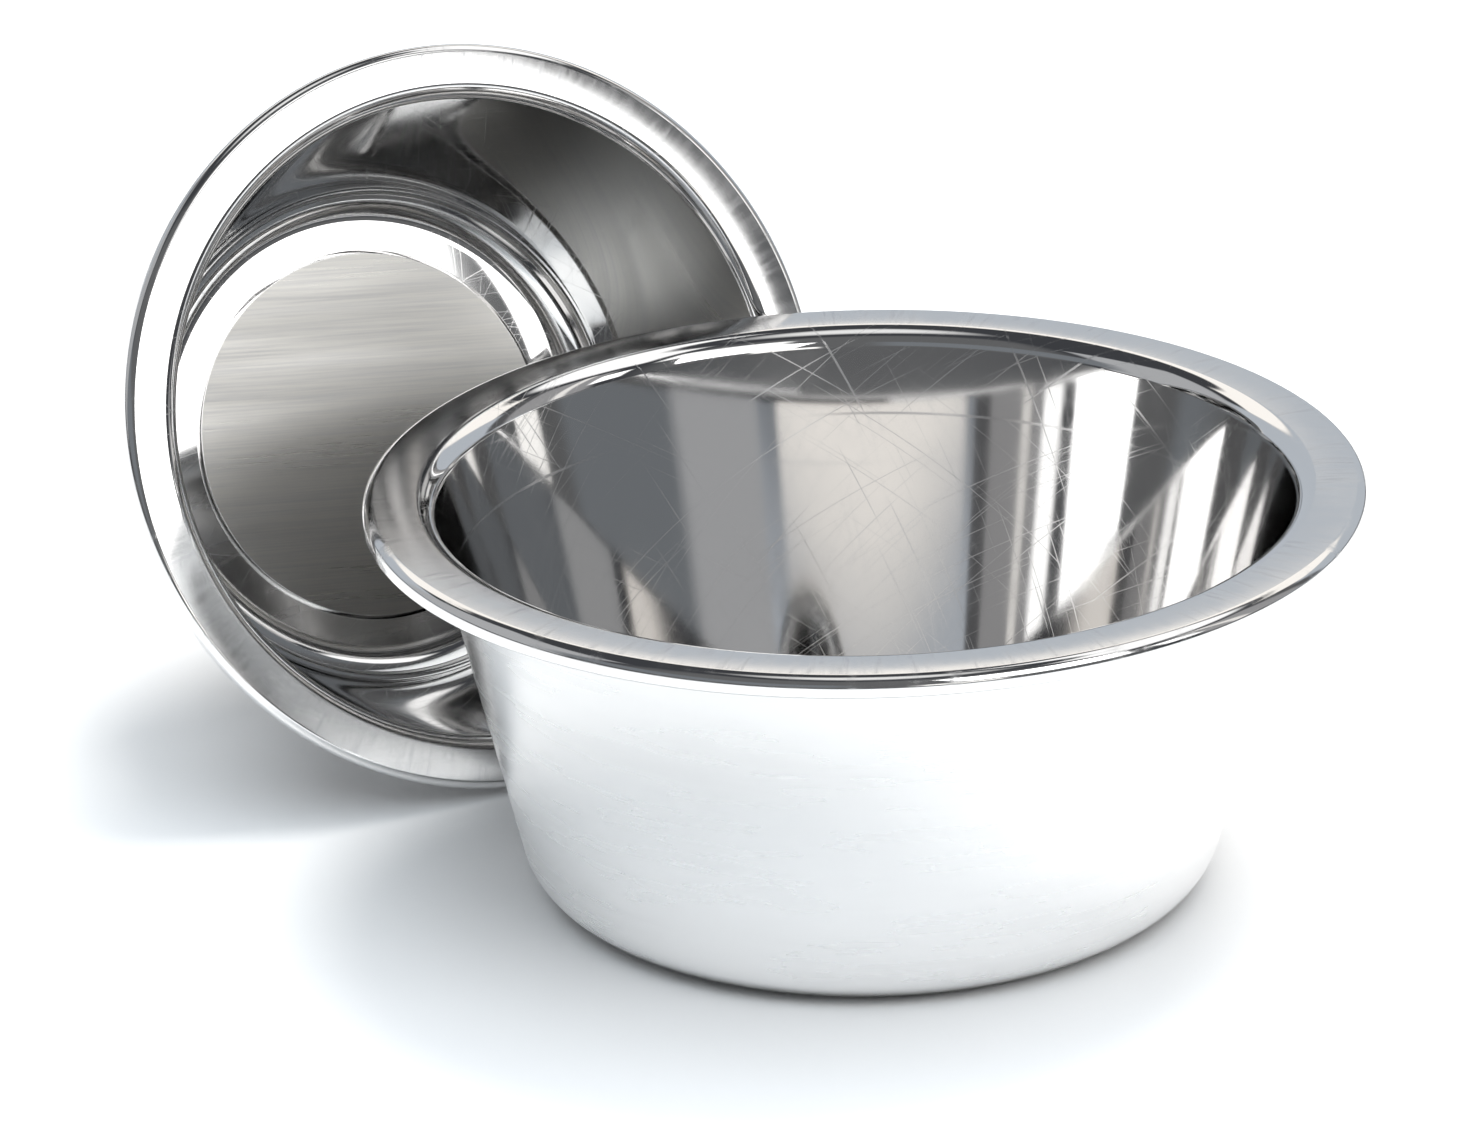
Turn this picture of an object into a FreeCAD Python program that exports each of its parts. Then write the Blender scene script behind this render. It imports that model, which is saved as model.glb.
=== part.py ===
"""Shaving bowl set: two loose stainless bowls, each one deep-drawn sheet pressing.

The large bowl stands on its foot ring.  The small bowl is the same pattern, a fixed ratio
smaller, and lies on its side behind and to the left, on its rim lip and its foot radius.
Lengths are in millimetres, angles in degrees, +Z is up.  The origin is on the table, under
the middle of the set's outline.
"""
import FreeCAD, Part
import math
import os
import Sketcher

# Driving dimensions.  Those of the pattern belong to the large bowl; the small bowl takes
# each of them times size_ratio, except the sheet thickness, which both bowls share.
DIMENSIONS = [
    ("rim_radius", 60.0, "outside of the rolled rim edge"),
    ("bowl_height", 50.5, "table to the top of the flange"),
    ("sheet_thickness", 0.8, "stainless sheet"),
    ("flange_inner_radius", 53.9, "where the flat flange starts to turn down into the bowl"),
    ("shoulder_radius", 2.8, "bend from flange to wall, on the polished side"),
    ("edge_radius", 1.5, "bend from flange to lip, on the polished side"),
    ("lip_length", 0.6, "straight lip below the edge bend"),
    ("flat_radius", 35.2, "where the flat bottom starts to turn up into the wall"),
    ("foot_radius", 7.5, "bend from bottom to wall, on the outside"),
    ("disc_radius", 30.3, "raised centre disc, across its top"),
    ("disc_rise", 0.6, "height of the disc above the flat ring around it"),
    ("size_ratio", 0.78, "small bowl to large bowl"),
    ("large_bowl_x", 16.0, "axis of the large bowl"),
    ("large_bowl_y", -15.2, "axis of the large bowl"),
    ("mouth_offset_x", -47.3, "centre of the small bowl's mouth, from the large bowl's axis"),
    ("mouth_offset_y", 41.5, "centre of the small bowl's mouth, from the large bowl's axis"),
    ("mouth_heading", -63.3, "way the small bowl's mouth faces, from +X towards +Y"),
]

# Ends of a sketch edge, and the sketch's own axes, whose shared start is its origin.
START = 1
END = 2
CENTRE = 3
ACROSS_AXIS = -1
UP_AXIS = -2

# The disc's step slopes at 45 degrees; half of that sets where its sharp corners fall.
HALF_STEP_SLOPE = 22.5


def add_dimensions(doc):
    """Fill the sheet that drives every size and place."""
    sheet = doc.addObject("Spreadsheet::Sheet", "Dimensions")
    for row, (alias, value, meaning) in enumerate(DIMENSIONS, start=1):
        sheet.set("A%d" % row, meaning)
        sheet.set("B%d" % row, str(value))
        sheet.setAlias("B%d" % row, alias)
    doc.recompute()
    return sheet


def origin_plane(body, role):
    """One of the body's own origin planes."""
    for feature in body.Origin.OriginFeatures:
        if feature.Role == role:
            return feature
    raise RuntimeError("no plane " + role)


def point(radius, height):
    """A point of the section: distance from the axis, and height."""
    return FreeCAD.Vector(radius, height, 0)


def arc(centre, radius, start_deg, end_deg):
    """A counter-clockwise arc of the section."""
    circle = Part.Circle(centre, FreeCAD.Vector(0, 0, 1), radius)
    return Part.ArcOfCircle(circle, math.radians(start_deg), math.radians(end_deg))


def wall_lean(run, rise, radii):
    """Lean from vertical of the straight wall tangent to the foot and shoulder bends."""
    return math.degrees(math.acos(radii / math.hypot(run, rise)) - math.atan2(rise, run))


def draw_section(sketch, sheet, ratio):
    """Draw the closed sheet section, near its final size, and return its named edges."""
    sheet_t = sheet.sheet_thickness
    rim = sheet.rim_radius * ratio
    top = sheet.bowl_height * ratio
    flat = sheet.flat_radius * ratio
    foot = sheet.foot_radius * ratio
    flange = sheet.flange_inner_radius * ratio
    shoulder = sheet.shoulder_radius * ratio
    edge = sheet.edge_radius * ratio
    lip = sheet.lip_length * ratio
    disc = sheet.disc_radius * ratio
    rise = sheet.disc_rise * ratio

    foot_centre = point(flat, foot)
    shoulder_centre = point(flange, top - shoulder)
    edge_centre = point(rim - edge, top - edge)
    lip_end = top - edge - lip
    lean = wall_lean(flange - flat, top - shoulder - foot, foot - sheet_t + shoulder)
    away = point(math.cos(math.radians(lean)), -math.sin(math.radians(lean)))
    under_step = disc - sheet_t * math.tan(math.radians(HALF_STEP_SLOPE))

    outer_wall = (foot_centre + away * foot, shoulder_centre - away * (shoulder - sheet_t))
    inner_wall = (shoulder_centre - away * shoulder, foot_centre + away * (foot - sheet_t))
    section = [
        ("disc_under", Part.LineSegment(point(0, rise), point(under_step, rise))),
        ("step_under", Part.LineSegment(point(under_step, rise), point(under_step + rise, 0))),
        ("ring_under", Part.LineSegment(point(under_step + rise, 0), point(flat, 0))),
        ("foot_outside", arc(foot_centre, foot, -90, -lean)),
        ("wall_outside", Part.LineSegment(*outer_wall)),
        ("shoulder_under", arc(shoulder_centre, shoulder - sheet_t, 90, 180 - lean)),
        ("flange_under", Part.LineSegment(point(flange, top - sheet_t), point(rim - edge, top - sheet_t))),
        ("edge_under", arc(edge_centre, edge - sheet_t, 0, 90)),
        ("lip_inside", Part.LineSegment(point(rim - sheet_t, top - edge), point(rim - sheet_t, lip_end))),
        ("lip_end", arc(point(rim - sheet_t / 2, lip_end), sheet_t / 2, 180, 360)),
        ("lip_outside", Part.LineSegment(point(rim, lip_end), point(rim, top - edge))),
        ("edge_top", arc(edge_centre, edge, 0, 90)),
        ("flange_top", Part.LineSegment(point(rim - edge, top), point(flange, top))),
        ("shoulder_top", arc(shoulder_centre, shoulder, 90, 180 - lean)),
        ("wall_inside", Part.LineSegment(*inner_wall)),
        ("foot_inside", arc(foot_centre, foot - sheet_t, -90, -lean)),
        ("ring_top", Part.LineSegment(point(flat, sheet_t), point(disc + rise, sheet_t))),
        ("step_top", Part.LineSegment(point(disc + rise, sheet_t), point(disc, rise + sheet_t))),
        ("disc_top", Part.LineSegment(point(disc, rise + sheet_t), point(0, rise + sheet_t))),
        ("axis", Part.LineSegment(point(0, rise + sheet_t), point(0, rise))),
    ]
    return {name: sketch.addGeometry(curve, False) for name, curve in section}


def join_section(sketch, edges):
    """Join the edges end to end: sharp at the disc's step, smooth everywhere else."""
    sharp = [
        ("disc_under", END, "step_under", START),
        ("step_under", END, "ring_under", START),
        ("ring_top", END, "step_top", START),
        ("step_top", END, "disc_top", START),
        ("disc_top", END, "axis", START),
        ("axis", END, "disc_under", START),
        ("foot_outside", CENTRE, "foot_inside", CENTRE),
        ("shoulder_under", CENTRE, "shoulder_top", CENTRE),
        ("edge_under", CENTRE, "edge_top", CENTRE),
    ]
    smooth = [
        ("ring_under", END, "foot_outside", START),
        ("foot_outside", END, "wall_outside", START),
        ("wall_outside", END, "shoulder_under", END),
        ("shoulder_under", START, "flange_under", START),
        ("flange_under", END, "edge_under", END),
        ("edge_under", START, "lip_inside", START),
        ("lip_inside", END, "lip_end", START),
        ("lip_end", END, "lip_outside", START),
        ("lip_outside", END, "edge_top", START),
        ("edge_top", END, "flange_top", START),
        ("flange_top", END, "shoulder_top", START),
        ("shoulder_top", END, "wall_inside", START),
        ("wall_inside", END, "foot_inside", END),
        ("foot_inside", START, "ring_top", START),
    ]
    for kind, joints in (("Coincident", sharp), ("Tangent", smooth)):
        for first, first_end, second, second_end in joints:
            joint = Sketcher.Constraint(kind, edges[first], first_end, edges[second], second_end)
            sketch.addConstraint(joint)
    for name in ("disc_under", "ring_under", "flange_top", "ring_top", "disc_top"):
        sketch.addConstraint(Sketcher.Constraint("Horizontal", edges[name]))
    for name in ("axis", "lip_inside", "lip_outside"):
        sketch.addConstraint(Sketcher.Constraint("Vertical", edges[name]))
    sketch.addConstraint(Sketcher.Constraint("Parallel", edges["step_under"], edges["step_top"]))
    sketch.addConstraint(Sketcher.Constraint("PointOnObject", edges["axis"], START, UP_AXIS))
    sketch.addConstraint(Sketcher.Constraint("PointOnObject", edges["ring_under"], START, ACROSS_AXIS))


def drive(sketch, constraint, name, expression):
    """Add a named dimension to the sketch and bind it to the sheet."""
    index = sketch.addConstraint(constraint)
    sketch.renameConstraint(index, name)
    sketch.setExpression("Constraints." + name, expression)


def size_section(sketch, edges, sheet, ratio, ratio_text):
    """Bind every size of the section to the sheet."""
    def scaled(alias):
        return "Dimensions.%s%s" % (alias, ratio_text)

    def across(name, edge, end, alias):
        value = sheet.get(alias) * ratio
        width = Sketcher.Constraint("DistanceX", ACROSS_AXIS, START, edges[edge], end, value)
        drive(sketch, width, name, scaled(alias))

    def up(name, edge, end, alias):
        value = sheet.get(alias) * ratio
        height = Sketcher.Constraint("DistanceY", ACROSS_AXIS, START, edges[edge], end, value)
        drive(sketch, height, name, scaled(alias))

    def bend(name, outer_edge, inner_edge, alias):
        value = sheet.get(alias) * ratio
        drive(sketch, Sketcher.Constraint("Radius", edges[outer_edge], value), name, scaled(alias))
        inner = Sketcher.Constraint("Radius", edges[inner_edge], value - sheet.sheet_thickness)
        drive(sketch, inner, name + "_hollow_side", scaled(alias) + " - Dimensions.sheet_thickness")

    across("rim_radius", "lip_outside", START, "rim_radius")
    across("flange_inner_radius", "shoulder_top", CENTRE, "flange_inner_radius")
    across("flat_radius", "foot_outside", CENTRE, "flat_radius")
    across("disc_radius", "step_top", END, "disc_radius")
    up("bowl_height", "flange_top", START, "bowl_height")
    up("disc_rise", "disc_under", START, "disc_rise")
    bend("foot_radius", "foot_outside", "foot_inside", "foot_radius")
    bend("shoulder_radius", "shoulder_top", "shoulder_under", "shoulder_radius")
    bend("edge_radius", "edge_top", "edge_under", "edge_radius")

    lip = edges["lip_outside"]
    lip_length = Sketcher.Constraint("DistanceY", lip, START, lip, END, sheet.lip_length * ratio)
    drive(sketch, lip_length, "lip_length", scaled("lip_length"))
    axis = edges["axis"]
    floor = Sketcher.Constraint("DistanceY", axis, END, axis, START, sheet.sheet_thickness)
    drive(sketch, floor, "disc_thickness", "Dimensions.sheet_thickness")
    step = edges["step_top"]
    slope = Sketcher.Constraint("DistanceX", step, END, step, START, sheet.disc_rise * ratio)
    drive(sketch, slope, "step_width", scaled("disc_rise"))
    under = edges["step_under"]
    wall = Sketcher.Constraint("Distance", under, START, step, sheet.sheet_thickness)
    drive(sketch, wall, "step_thickness", "Dimensions.sheet_thickness")


def make_bowl(doc, sheet, label, ratio, ratio_text):
    """One bowl: its sheet section turned about Z, standing at the origin."""
    body = doc.addObject("PartDesign::Body", label)
    body.Label = label
    sketch = body.newObject("Sketcher::SketchObject", label + "_section")
    sketch.AttachmentSupport = (origin_plane(body, "XZ_Plane"), [""])
    sketch.MapMode = "FlatFace"
    edges = draw_section(sketch, sheet, ratio)
    join_section(sketch, edges)
    size_section(sketch, edges, sheet, ratio, ratio_text)
    doc.recompute()
    turned = body.newObject("PartDesign::Revolution", label + "_pressing")
    turned.Profile = (sketch, [""])
    turned.ReferenceAxis = (sketch, ["V_Axis"])
    turned.Angle = 360.0
    doc.recompute()
    if sketch.solve() != 0 or not sketch.FullyConstrained:
        raise RuntimeError(label + " section is not fully constrained")
    return body


def stand_large_bowl(body):
    """Stand the large bowl on its flat ring."""
    body.setExpression("Placement", "placement(vector(Dimensions.large_bowl_x; Dimensions.large_bowl_y; 0);"
                       " rotation(vector(0; 0; 1); 0 deg))")


def lay_small_bowl(body):
    """Lay the small bowl on its side, its rim lip and its foot radius both on the table.

    The lip's rounded end and the foot bend are two circles of the section; the tilt is the
    one at which their lowest points are level.
    """
    half_sheet = "Dimensions.sheet_thickness / 2"
    foot = "Dimensions.foot_radius * Dimensions.size_ratio"
    flat = "Dimensions.flat_radius * Dimensions.size_ratio"
    top = "Dimensions.bowl_height * Dimensions.size_ratio"
    across = "((Dimensions.rim_radius - Dimensions.flat_radius) * Dimensions.size_ratio - %s)" % half_sheet
    along = ("((Dimensions.bowl_height - Dimensions.edge_radius - Dimensions.lip_length"
             " - Dimensions.foot_radius) * Dimensions.size_ratio)")
    level = "acos((%s - %s) / hypot(%s; %s))" % (foot, half_sheet, across, along)
    tilt = "(%s - atan2(%s; %s))" % (level, along, across)
    heading = "Dimensions.mouth_heading"
    mouth_x = "Dimensions.large_bowl_x + Dimensions.mouth_offset_x"
    mouth_y = "Dimensions.large_bowl_y + Dimensions.mouth_offset_y"
    base_x = "%s - %s * cos(%s) * cos(%s)" % (mouth_x, top, tilt, heading)
    base_y = "%s - %s * cos(%s) * sin(%s)" % (mouth_y, top, tilt, heading)
    base_z = "%s * cos(%s) + %s * (1 - sin(%s))" % (flat, tilt, foot, tilt)
    turn = "rotation(vector(-sin(%s); cos(%s); 0); 90 deg - %s)" % (heading, heading, tilt)
    body.setExpression("Placement", "placement(vector(%s; %s; %s); %s)" % (base_x, base_y, base_z, turn))


def check_and_export(doc, bodies):
    """Stop at any failed object; otherwise write one STEP file for each bowl."""
    for item in doc.Objects:
        if "Invalid" in item.State or "Error" in item.State:
            raise RuntimeError("%s failed: %s" % (item.Label, item.State))
    for body in bodies:
        shape = body.Shape
        if shape.isNull() or not shape.isValid() or len(shape.Solids) != 1:
            raise RuntimeError(body.Label + " has no sound solid")
    os.makedirs("parts", exist_ok=True)
    for body in bodies:
        body.Shape.exportStep("parts/%s.step" % body.Label)
        box = body.Shape.BoundBox
        print("%s: %.0f mm3, X %.2f..%.2f Y %.2f..%.2f Z %.2f..%.2f" % (
            body.Label, body.Shape.Volume, box.XMin, box.XMax, box.YMin, box.YMax, box.ZMin, box.ZMax))


def main():
    doc = FreeCAD.newDocument("shaving_bowls")
    sheet = add_dimensions(doc)
    large_bowl = make_bowl(doc, sheet, "large_bowl", 1.0, "")
    small_bowl = make_bowl(doc, sheet, "small_bowl", sheet.size_ratio, " * Dimensions.size_ratio")
    stand_large_bowl(large_bowl)
    lay_small_bowl(small_bowl)
    doc.recompute()
    print("small bowl tilt %.3f" % (90 - math.degrees(small_bowl.Placement.Rotation.Angle)))
    print("gap between the bowls %.3f" % large_bowl.Shape.distToShape(small_bowl.Shape)[0])
    check_and_export(doc, [large_bowl, small_bowl])


main()
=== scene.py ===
"""Looks of the shaving bowl set: two pressed and polished stainless bowls in a pale studio.

Lengths are in metres and angles in degrees, in the frame of the CAD model.  The finishes are laid out
in each bowl's own millimetres.
"""

import math

import bpy
from mathutils import Matrix, Vector


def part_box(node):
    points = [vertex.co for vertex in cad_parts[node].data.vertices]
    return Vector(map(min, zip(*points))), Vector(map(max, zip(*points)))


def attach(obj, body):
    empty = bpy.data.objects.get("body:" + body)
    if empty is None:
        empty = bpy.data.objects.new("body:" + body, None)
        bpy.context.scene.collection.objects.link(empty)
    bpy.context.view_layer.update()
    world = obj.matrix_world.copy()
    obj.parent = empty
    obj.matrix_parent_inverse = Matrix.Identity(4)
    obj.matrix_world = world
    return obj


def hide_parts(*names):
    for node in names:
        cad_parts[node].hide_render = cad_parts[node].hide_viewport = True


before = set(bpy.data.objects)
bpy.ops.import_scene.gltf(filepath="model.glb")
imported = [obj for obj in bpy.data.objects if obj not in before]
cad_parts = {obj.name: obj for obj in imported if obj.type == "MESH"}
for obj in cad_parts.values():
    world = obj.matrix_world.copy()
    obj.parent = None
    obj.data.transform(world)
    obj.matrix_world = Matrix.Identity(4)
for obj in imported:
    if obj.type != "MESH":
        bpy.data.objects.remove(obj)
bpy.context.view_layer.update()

# The pressing's pattern, as shares of the large bowl's rim radius.
FLANGE_INNER = 0.8983
SHOULDER = 0.0467
EDGE = 0.025
LIP = 0.010
FLAT = 0.5867
FOOT = 0.125
DISC = 0.505
DISC_RISE = 0.010
DISC_FILLET = 0.003

SHEET = 0.0008
FLANGE_CROWN = 4.0  # how far the slightly domed flange leans at its two sides
STEP_SLOPE = 45.0  # slope of the step round the disc

# Where the small bowl lies against the large one.
SIZE_RATIO = 0.78
MOUTH_OFFSET = Vector((-0.0473, 0.0415))
MOUTH_HEADING = -63.3

# Mesh fineness
TURN_STEPS = 288
ARC_STEP = 6.0
ON_AXIS = SHEET / 100  # a point nearer to the axis than this is the middle of a disc

# The bowl's own coordinates, in millimetres, which the patterns of its materials are laid on.
OWN = "bowl_mm"
MILLIMETRES = 1000.0

# Camera
CAMERA_PLACE = Vector((0.0089, -0.7916, 0.3585))
CAMERA_TARGET = Vector((0.0008, -0.0191, 0.0413))
CAMERA_ROLL = -1.58
CAMERA_LENS = 170.5
SENSOR = 36.0

# The window's card, which stands close by at the front right.
WINDOW_PLACE = Vector((0.19, -0.245, 0.216))
WINDOW_SIZE = (0.21, 0.158)
WINDOW_POWER = 0.26

# Finish
RUBBED_RING = 40.0  # height of a faint rubbed ring inside each bowl, in millimetres
DISC_GRAIN = -20.0  # which way the disc is brushed


# ---- shapes ----

def arc(centre, radius, start, end):
    """Points along an arc of the section, each with the normal that points out of the sheet."""
    steps = max(2, math.ceil(abs(end - start) / ARC_STEP))
    side = 1 if end > start else -1
    points = []
    for i in range(steps + 1):
        angle = math.radians(start + (end - start) * i / steps)
        ray = Vector((math.cos(angle), math.sin(angle)))
        points.append((Vector(centre) + radius * ray, side * ray))
    return points


def bowl_section(rim, height):
    """The closed section of a bowl, as (finish, points) stretches.

    It runs from the middle of the underside outwards, up over the rim and down to the disc's middle.
    """
    shoulder = SHOULDER * rim
    edge = EDGE * rim
    foot = FOOT * rim
    flat = FLAT * rim
    disc = DISC * rim
    rise = DISC_RISE * rim
    fillet = DISC_FILLET * rim
    crown = math.radians(FLANGE_CROWN)
    dome = ((rim - edge - FLANGE_INNER * rim) / math.sin(crown) + shoulder + edge) / 2
    dome_at = (FLANGE_INNER * rim + (dome - shoulder) * math.sin(crown), height - dome)
    shoulder_at = (FLANGE_INNER * rim, height - dome + (dome - shoulder) * math.cos(crown))
    edge_at = (rim - edge, height - dome + (dome - edge) * math.cos(crown))
    lip_at = (rim - SHEET / 2, edge_at[1] - LIP * rim)
    run = shoulder_at[0] - flat
    climb = shoulder_at[1] - foot
    tangent = math.acos((foot - SHEET + shoulder) / math.hypot(run, climb))
    lean = math.degrees(tangent - math.atan2(climb, run))
    half_slope = math.tan(math.radians(STEP_SLOPE / 2))
    inward = 90 + FLANGE_CROWN
    outward = 90 - FLANGE_CROWN
    step = disc - SHEET * half_slope
    ease = fillet * half_slope
    underside = [(Vector((0.0, rise)), Vector((0.0, -1.0)))]
    underside += arc((step - ease, rise - fillet), fillet, 90, STEP_SLOPE)
    underside += arc((step + rise + ease, fillet), fillet, 180 + STEP_SLOPE, 270)
    outside = arc((flat, foot), foot, -90, -lean)
    outside += arc(shoulder_at, shoulder - SHEET, 180 - lean, inward)
    outside += arc(dome_at, dome - SHEET, inward, outward)
    outside += arc(edge_at, edge - SHEET, outward, 0)
    rolled = arc(lip_at, SHEET / 2, 180, 360)
    rolled += arc(edge_at, edge, 0, outward)
    flange = arc(dome_at, dome, outward, inward)
    inside = arc(shoulder_at, shoulder, inward, 180 - lean)
    inside += arc((flat, foot), foot - SHEET, -lean, -90)
    inside += arc((disc + rise + ease, SHEET + fillet), fillet, 270, 180 + STEP_SLOPE)
    inside += arc((disc - ease, rise + SHEET - fillet), fillet, STEP_SLOPE, 90)
    middle = [(Vector((0.0, rise + SHEET)), Vector((0.0, 1.0)))]
    return [("outside", underside + outside), ("rolled", rolled), ("flange", flange),
            ("inside", inside), ("disc", middle)]


def ring_faces(low, high):
    """The faces between two rings of vertex numbers, one of which may be a single point."""
    for i in range(TURN_STEPS):
        j = (i + 1) % TURN_STEPS
        if len(low) == 1:
            yield low[0], high[j], high[i]
        elif len(high) == 1:
            yield low[i], low[j], high[0]
        else:
            yield low[i], low[j], high[j], high[i]


def spin(name, section, placement, finishes):
    """Turn a section about the bowl's axis into a closed mesh, and set it in its place."""
    rings = []
    verts = []
    normals = []
    own = []
    turned = placement.to_3x3()
    for finish, points in section:
        for (radius, height), (across, along) in points:
            count = 1 if radius < ON_AXIS else TURN_STEPS
            rings.append((finish, range(len(verts), len(verts) + count)))
            for i in range(count):
                angle = 2 * math.pi * i / TURN_STEPS
                at = Vector((radius * math.cos(angle), radius * math.sin(angle), height))
                facing = Vector((across * math.cos(angle), across * math.sin(angle), along))
                own.append(at * MILLIMETRES)
                verts.append(placement @ at)
                normals.append(turned @ facing)
    faces = []
    slots = []
    order = list(finishes)
    for (_, low), (finish, high) in zip(rings, rings[1:]):
        faces += ring_faces(low, high)
        slots += [order.index(finish)] * TURN_STEPS
    mesh = bpy.data.meshes.new(name)
    mesh.from_pydata(verts, [], faces)
    for material in finishes.values():
        mesh.materials.append(material)
    mesh.polygons.foreach_set("material_index", slots)
    mesh.polygons.foreach_set("use_smooth", [True] * len(faces))
    places = mesh.attributes.new(OWN, "FLOAT_VECTOR", "POINT")
    places.data.foreach_set("vector", [c for v in own for c in v])
    mesh.normals_split_custom_set_from_vertices(normals)
    mesh.update()
    piece = bpy.data.objects.new(name, mesh)
    bpy.context.scene.collection.objects.link(piece)
    return piece


def resting_tilt(rim, height):
    """How far a lying bowl's mouth looks up, with its lip and its foot on the table."""
    across = rim - SHEET / 2 - FLAT * rim
    along = height - (EDGE + LIP + FOOT) * rim
    drop = FOOT * rim - SHEET / 2
    return math.acos(drop / math.hypot(across, along)) - math.atan2(along, across)


def lying_place(axis, rim, height):
    """Where the small bowl lies: its mouth's middle beside the large bowl, its lip and foot on the table."""
    tilt = resting_tilt(rim, height)
    heading = math.radians(MOUTH_HEADING)
    out = Vector((math.cos(tilt) * math.cos(heading), math.cos(tilt) * math.sin(heading), math.sin(tilt)))
    base = Vector((axis.x + MOUTH_OFFSET.x, axis.y + MOUTH_OFFSET.y, 0.0)) - out * height
    base.z = FLAT * rim * math.cos(tilt) + FOOT * rim * (1 - math.sin(tilt))
    hinge = Vector((-math.sin(heading), math.cos(heading), 0.0))
    return Matrix.Translation(base) @ Matrix.Rotation(math.pi / 2 - tilt, 4, hinge)


# ---- finishes ----

LEVEL = (1, 1, 0)  # keeps a vector's level part
COLOUR_MIX_INPUTS = (0, 6, 7)  # a mix node's own factor and its two colours
COLOUR_MIX_RESULT = 2
HAIRLINE_LENGTH = 0.035  # how fast a hairline ends, in cycles a millimetre


class Pattern:
    """Short ways to build a pattern in a node tree."""

    def __init__(self, tree):
        self.tree = tree

    def node(self, kind, values, **settings):
        made = self.tree.nodes.new(kind)
        for key, value in settings.items():
            setattr(made, key, value)
        for key, value in values.items():
            self.give(made.inputs[key], value)
        return made

    def give(self, socket, value):
        """Link a pattern to a socket, or set a plain value on it."""
        if isinstance(value, bpy.types.NodeSocket):
            self.tree.links.new(value, socket)
        else:
            socket.default_value = value

    def math(self, operation, *values):
        return self.node("ShaderNodeMath", dict(enumerate(values)), operation=operation).outputs[0]

    def vector(self, operation, *values):
        """A vector sum, or for a dot product or a length the number it gives."""
        made = self.node("ShaderNodeVectorMath", dict(enumerate(values)), operation=operation)
        return made.outputs["Value" if operation in ("DOT_PRODUCT", "LENGTH") else "Vector"]

    def up(self, vector):
        """The vector's height."""
        return self.node("ShaderNodeSeparateXYZ", {0: vector}).outputs["Z"]

    def own(self):
        """The bowl's own coordinates in millimetres."""
        return self.node("ShaderNodeAttribute", {}, attribute_name=OWN).outputs["Vector"]

    def scaled(self, scale, turn=(0.0, 0.0, 0.0)):
        """The bowl's own coordinates, turned by some degrees and then scaled, in cycles a millimetre."""
        values = {"Vector": self.own(), "Rotation": tuple(math.radians(a) for a in turn)}
        turned = self.node("ShaderNodeVectorRotate", values, rotation_type="EULER_XYZ").outputs[0]
        return self.vector("MULTIPLY", turned, scale)

    def around(self, turns, outwards, upwards, twist=0.0):
        """Coordinates with this many cycles round the bowl, and so many a millimetre outwards and upwards.

        A twist, in degrees a millimetre, lets what would run straight up run up at a slant.
        """
        own = self.own()
        radius = self.vector("LENGTH", self.vector("MULTIPLY", own, LEVEL))
        height = self.up(own)
        angle = self.math("MULTIPLY", self.math("ADD", radius, height), math.radians(twist))
        values = {"Vector": own, "Angle": angle}
        turned = self.node("ShaderNodeVectorRotate", values, rotation_type="Z_AXIS").outputs[0]
        facing = self.vector("NORMALIZE", self.vector("MULTIPLY", turned, LEVEL))
        facing = self.vector("MULTIPLY", facing, (turns / math.tau, turns / math.tau, 0))
        outwards = self.math("MULTIPLY", radius, outwards)
        rise = self.math("ADD", outwards, self.math("MULTIPLY", height, upwards))
        return self.vector("ADD", facing, self.node("ShaderNodeCombineXYZ", {"Z": rise}).outputs[0])

    def scratches(self, turns, twist):
        """Long thin hairlines, from 0 to 1, that all climb at one slant."""
        lines = self.noise(self.around(turns, HAIRLINE_LENGTH, HAIRLINE_LENGTH, twist), detail=0.0)
        return self.range(lines, 0.74, 0.80)

    def specks(self, cells, size):
        """Sparse small dots, from 0 to 1, with so many cells a millimetre."""
        values = {"Vector": self.own(), "Scale": cells, "Randomness": 1.0}
        nearest = self.node("ShaderNodeTexVoronoi", values, feature="F1").outputs["Distance"]
        return self.range(nearest, size * 2, size)

    def noise(self, vector, detail=2.0, roughness=0.5):
        values = {"Vector": vector, "Scale": 1.0, "Detail": detail, "Roughness": roughness}
        return self.node("ShaderNodeTexNoise", values).outputs["Fac"]

    def range(self, value, low, high, out_low=0.0, out_high=1.0):
        """Ease from one value to another while the input goes from low to high."""
        values = {"Value": value, "From Min": low, "From Max": high, "To Min": out_low, "To Max": out_high}
        return self.node("ShaderNodeMapRange", values, interpolation_type="SMOOTHSTEP").outputs["Result"]

    def mix(self, factor, first, second):
        """A colour between two others."""
        sockets = dict(zip(COLOUR_MIX_INPUTS, (factor, first, second)))
        return self.node("ShaderNodeMix", sockets, data_type="RGBA").outputs[COLOUR_MIX_RESULT]

    def bump(self, height, distance):
        return self.node("ShaderNodeBump", {"Height": height, "Distance": distance}).outputs["Normal"]


class Finish(Pattern):
    """A new node material, whose patterns end in the sockets of its one shader."""

    def __init__(self, name):
        self.material = bpy.data.materials.new(name)
        self.material.use_nodes = True
        super().__init__(self.material.node_tree)
        self.shader = self.tree.nodes["Principled BSDF"]

    def set(self, **sockets):
        """Give the shader's sockets a value or a pattern; an underscore in a name stands for a space."""
        for name, value in sockets.items():
            self.give(self.shader.inputs[name.replace("_", " ")], value)


STEEL = (0.80, 0.795, 0.79, 1)
# Painted light: the brighter foot offsets the mirrored floor shadow; painted shade: the darker underside.
FOOT_PAINTED_LIGHT = (0.95, 0.945, 0.94, 1)
RIM_SATIN = (0.725, 0.725, 0.725, 1)
UNDERSIDE_PAINTED_SHADE = (0.52, 0.52, 0.515, 1)
STREAKED_STEEL = (0.66, 0.66, 0.67, 1)
BRUSHED_STEEL = (0.51, 0.50, 0.47, 1)
DULL_STEEL = (0.44, 0.435, 0.43, 1)
SPECK = (0.16, 0.14, 0.12, 1)
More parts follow.
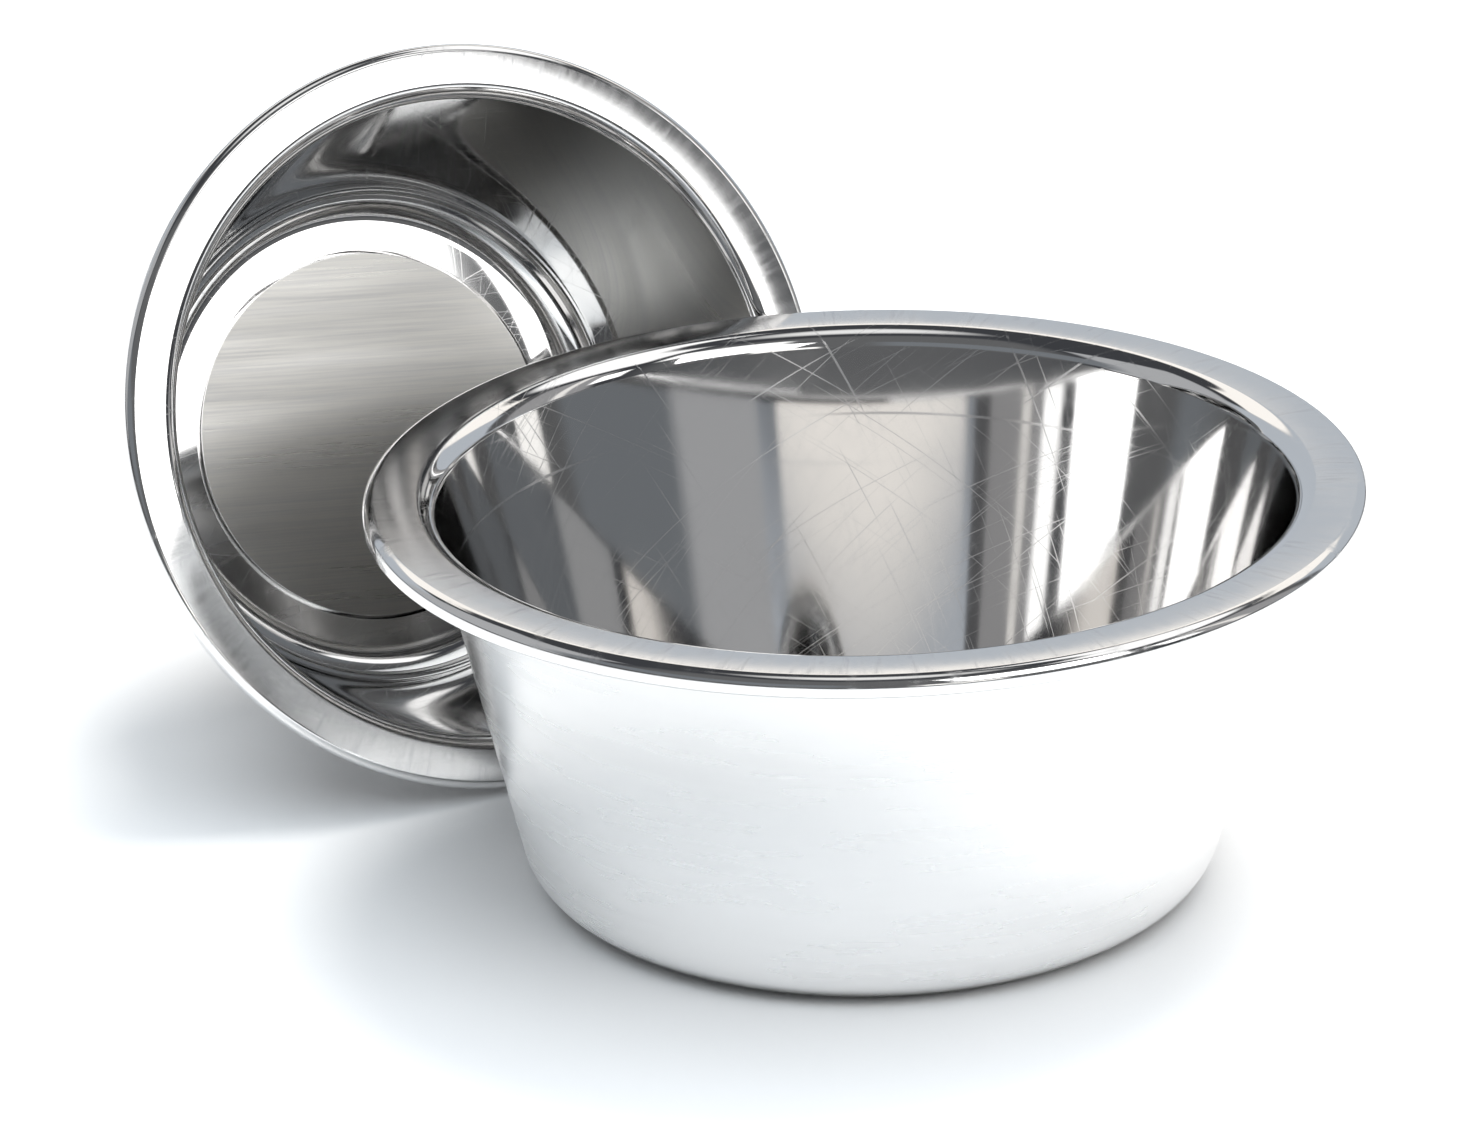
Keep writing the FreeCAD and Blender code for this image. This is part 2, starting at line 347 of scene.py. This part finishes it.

# Heights up the outside, in millimetres, between which one painted tone eases into the next.
WALL_PAINTED_LIGHT_HEIGHTS = (10.0, 34.0)
UNDERSIDE_PAINTED_SHADE_HEIGHTS = (3.0, 0.8)

# The hairlines of use: how many would fit round the bowl, and their slant in degrees a millimetre.
HAIRLINES = (
    (850, 1.9),
    (980, 1.1),
    (760, -1.5),
    (900, -0.5),
)


def satin_outside():
    """The outside: satin, with painted light brightening it towards the foot and painted shade darkening it
    underneath.

    It is faintly mottled, with fine lines left by the polishing wheel and a few specks.
    """
    look = Finish("satin_steel")
    mottle = look.noise(look.around(9, 0.05, 0.22), detail=3.0, roughness=0.6)
    wheel = look.noise(look.around(3, 0.2, 2.4))
    height = look.up(look.own())
    # Painted light brightens the wall towards the foot, and painted shade darkens the underside.
    steel = look.mix(look.range(height, *WALL_PAINTED_LIGHT_HEIGHTS), FOOT_PAINTED_LIGHT, RIM_SATIN)
    steel = look.mix(look.range(height, *UNDERSIDE_PAINTED_SHADE_HEIGHTS), steel, UNDERSIDE_PAINTED_SHADE)
    steel = look.mix(look.range(mottle, 0.4, 0.75, 0.0, 0.09), steel, DULL_STEEL)
    cloudy = look.range(mottle, 0.3, 0.7, 0.20, 0.28)
    relief = look.math("ADD", wheel, look.math("MULTIPLY", mottle, 1.5))
    look.set(Metallic=1.0, Base_Color=look.mix(look.specks(0.045, 0.0126), steel, SPECK))
    look.set(Roughness=look.math("ADD", cloudy, look.math("MULTIPLY", wheel, 0.04)))
    look.set(Normal=look.bump(relief, 4e-6))
    return look.material


def rolled_edge():
    """The rolled rim: bright, with small nicks where it has been knocked."""
    look = Finish("rolled_edge")
    wear = look.noise(look.around(70, 0.3, 0.3), detail=3.0, roughness=0.65)
    look.set(Metallic=1.0, Base_Color=STEEL)
    look.set(Roughness=look.range(wear, 0.45, 0.75, 0.07, 0.28))
    look.set(Normal=look.bump(look.range(wear, 0.58, 0.72), 1.2e-5))
    return look.material


def radial_satin():
    """The flange: satin, with fine streaks that run outwards."""
    look = Finish("radial_satin")
    streaks = look.noise(look.around(330, 0.12, 0.0), detail=3.0, roughness=0.6)
    patches = look.noise(look.around(14, 0.1, 0.0))
    cloudy = look.range(patches, 0.35, 0.65, 0.13, 0.18)
    look.set(Metallic=1.0, Base_Color=look.mix(look.range(streaks, 0.5, 0.8), STEEL, STREAKED_STEEL))
    look.set(Roughness=look.math("ADD", cloudy, look.range(streaks, 0.3, 0.75, 0.0, 0.08)))
    look.set(Normal=look.bump(streaks, 3e-6))
    return look.material


def mirror_inside():
    """The inner wall and floor: a mirror, with fine scratches of use, a rubbed ring and a little haze."""
    look = Finish("mirror_steel")
    scuffs = look.scratches(*HAIRLINES[0])
    for hairlines in HAIRLINES[1:]:
        scuffs = look.math("MAXIMUM", scuffs, look.scratches(*hairlines))
    used = look.range(look.noise(look.scaled((0.03, 0.03, 0.03)), detail=1.0), 0.4, 0.62, 0.3, 1.0)
    scuffs = look.math("MULTIPLY", scuffs, used)
    above = look.math("SUBTRACT", look.up(look.own()), RUBBED_RING)
    ring = look.range(look.math("ABSOLUTE", above), 0.28, 0.05)
    worn = look.range(look.noise(look.around(5, 0.0, 0.0), detail=3.0), 0.4, 0.6)
    ring = look.math("MULTIPLY", look.math("MULTIPLY", ring, worn), 0.8)
    haze = look.range(look.noise(look.around(6, 0.04, 0.08), detail=3.0), 0.35, 0.7, 0.035, 0.075)
    marks = look.math("MAXIMUM", scuffs, ring)
    look.set(Metallic=1.0, Base_Color=STEEL)
    look.set(Roughness=look.math("ADD", haze, look.math("MULTIPLY", marks, 0.17)))
    return look.material


def brushed_disc():
    """The disc in the bottom: brushed one way, duller than the wall."""
    look = Finish("brushed_disc")
    brushed = (0, 0, DISC_GRAIN)
    grain = look.noise(look.scaled((0.06, 3.6, 1.0), brushed), detail=3.0, roughness=0.65)
    broad = look.noise(look.scaled((0.02, 0.25, 1.0), brushed), detail=1.0)
    cloudy = look.range(broad, 0.3, 0.7, 0.24, 0.32)
    look.set(Metallic=1.0, Base_Color=look.mix(look.range(grain, 0.3, 0.75), BRUSHED_STEEL, DULL_STEEL))
    look.set(Roughness=look.math("ADD", cloudy, look.math("MULTIPLY", grain, 0.08)))
    look.set(Normal=look.bump(grain, 5e-6))
    return look.material


def finishes():
    return {
        "outside": satin_outside(),
        "rolled": rolled_edge(),
        "flange": radial_satin(),
        "inside": mirror_inside(),
        "disc": brushed_disc(),
    }


def build_bowls():
    low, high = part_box("large_bowl")
    axis = (low + high) / 2
    rim = (high.x - low.x) / 2
    height = high.z - low.z
    coats = finishes()
    standing = Matrix.Translation((axis.x, axis.y, 0.0))
    lying = lying_place(axis, rim * SIZE_RATIO, height * SIZE_RATIO)
    for node, share, placement in (("large_bowl", 1.0, standing), ("small_bowl", SIZE_RATIO, lying)):
        piece = spin(node + "_shell", bowl_section(rim * share, height * share), placement, coats)
        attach(piece, node)
        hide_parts(node)


# ---- studio ----

# Soft panels round the bowls: azimuth from +Y towards +X, half width, lowest and highest elevation,
# colour, strength and the softness of the edges.
PANELS = {
    "front_room": (180, 60, 2, 62, (0.95, 0.97, 1.0), 0.15, 10),
    "back_wall": (0, 80, 2, 28, (0.88, 0.95, 1.04), 0.60, 4),
    "back_softbox": (5, 52, 27.5, 41, (1.0, 0.965, 0.92), 1.20, 2.5),
    "left_wall": (-84, 26, 4, 48, (0.95, 0.97, 1.0), 0.50, 3),
    "right_wall": (84, 18, 4, 40, (0.98, 0.98, 1.0), 0.36, 3),
    "right_post": (66, 4, 4, 45, (0.95, 0.96, 1.0), 0.12, 2),
    "right_lamp": (91, 2, 6, 40, (1.0, 0.98, 0.95), 1.0, 1.5),
    "window_reveal": (106, 5, 16, 32, (1.0, 1.0, 1.0), 1.9, 1.5),
    "window_top": (137, 20, 38, 52, (1.0, 1.0, 1.0), 1.5, 3),
    "low_window": (160, 9, 6, 14, (1.0, 0.99, 0.97), 1.5, 1.5),
    "high_right": (62, 45, 46, 66, (1.0, 1.0, 1.0), 1.3, 4),
    "front_left": (-140, 34, 10, 30, (0.85, 0.92, 1.0), 0.24, 6),
    "front_ceiling": (160, 75, 66, 90, (0.95, 0.98, 1.0), 1.0, 8),
}
ROOM = (0.055, 0.058, 0.065, 1)
WHITE = (1.0, 1.0, 1.0, 1)
CEILING = 80.0  # elevation from which everything overhead is bright
CEILING_SOFTNESS = 8.0

# The two soft lamps over the table: place, diameter, power and colour.
TABLE_LAMPS = {
    "key": (Vector((0.30, 0.42, 1.25)), 0.70, 14.0, (1.0, 0.975, 0.94)),
    "fill": (Vector((-0.05, -0.5, 1.55)), 1.9, 24.0, (0.86, 0.94, 1.0)),
}
WINDOW_AIM = Vector((0, 0, 0.03))
TABLE_SIZE = 8.0
TABLE_WHITE = (0.9, 0.9, 0.9, 1)


def sine(degrees):
    return math.sin(math.radians(degrees))


def cosine(degrees):
    return math.cos(math.radians(degrees))


def studio_light():
    """The room that the steel reflects: dim walls, soft bright panels and a ceiling of light."""
    made = bpy.data.worlds.new("studio")
    bpy.context.scene.world = made
    made.use_nodes = True
    look = Pattern(made.node_tree)
    way = look.node("ShaderNodeTexCoord", {}).outputs["Generated"]
    flat = look.vector("NORMALIZE", look.vector("MULTIPLY", way, LEVEL))
    height = look.up(way)
    colour = ROOM
    for azimuth, half, low, high, tint, strength, soft in PANELS.values():
        facing = look.vector("DOT_PRODUCT", flat, (sine(azimuth), cosine(azimuth), 0.0))
        inside = look.range(facing, cosine(half + soft), cosine(half - soft))
        above = look.range(height, sine(low - soft / 2), sine(low + soft / 2))
        below = look.range(height, sine(high + soft / 2), sine(high - soft / 2))
        share = look.math("MULTIPLY", inside, look.math("MULTIPLY", above, below))
        colour = look.mix(share, colour, tuple(strength * c for c in tint) + (1,))
    top = look.range(height, sine(CEILING - CEILING_SOFTNESS), sine(CEILING + CEILING_SOFTNESS))
    colour = look.mix(top, colour, WHITE)
    seen = look.node("ShaderNodeLightPath", {}).outputs["Is Camera Ray"]
    look.give(made.node_tree.nodes["Background"].inputs["Color"], look.mix(seen, colour, WHITE))


def area_light(name, place, target, shape, size, power, colour):
    data = bpy.data.lights.new(name, "AREA")
    data.shape = shape
    data.size, data.size_y = size
    data.energy = power
    data.color = colour
    lamp = bpy.data.objects.new(name, data)
    bpy.context.scene.collection.objects.link(lamp)
    facing = (place - target).to_track_quat("Z", "Y").to_matrix().to_4x4()
    lamp.matrix_world = Matrix.Translation(place) @ facing
    lamp.visible_camera = False
    return lamp


def lights():
    """A near window that the steel mirrors, and two soft lamps that only light the table."""
    area_light("window", WINDOW_PLACE, WINDOW_AIM, "RECTANGLE", WINDOW_SIZE, WINDOW_POWER, WHITE[:3])
    for name, (place, across, power, colour) in TABLE_LAMPS.items():
        lamp = area_light(name, place, Vector((0, 0, 0)), "DISK", (across, across), power, colour)
        lamp.visible_glossy = False


def floor():
    bpy.ops.mesh.primitive_plane_add(size=TABLE_SIZE, location=(0, 0, 0))
    plane = bpy.context.object
    plane.name = "table"
    look = Finish("table_white")
    look.set(Base_Color=TABLE_WHITE, Roughness=0.9)
    plane.data.materials.append(look.material)


def camera():
    data = bpy.data.cameras.new("camera")
    data.lens = CAMERA_LENS
    data.sensor_width = SENSOR
    data.clip_start = 0.01
    piece = bpy.data.objects.new("camera", data)
    bpy.context.scene.collection.objects.link(piece)
    facing = (CAMERA_TARGET - CAMERA_PLACE).to_track_quat("-Z", "Y").to_matrix().to_4x4()
    roll = Matrix.Rotation(math.radians(CAMERA_ROLL), 4, "Z")
    piece.matrix_world = Matrix.Translation(CAMERA_PLACE) @ facing @ roll
    bpy.context.scene.camera = piece
    bpy.context.scene.view_settings.view_transform = "Standard"


build_bowls()
floor()
studio_light()
lights()
camera()
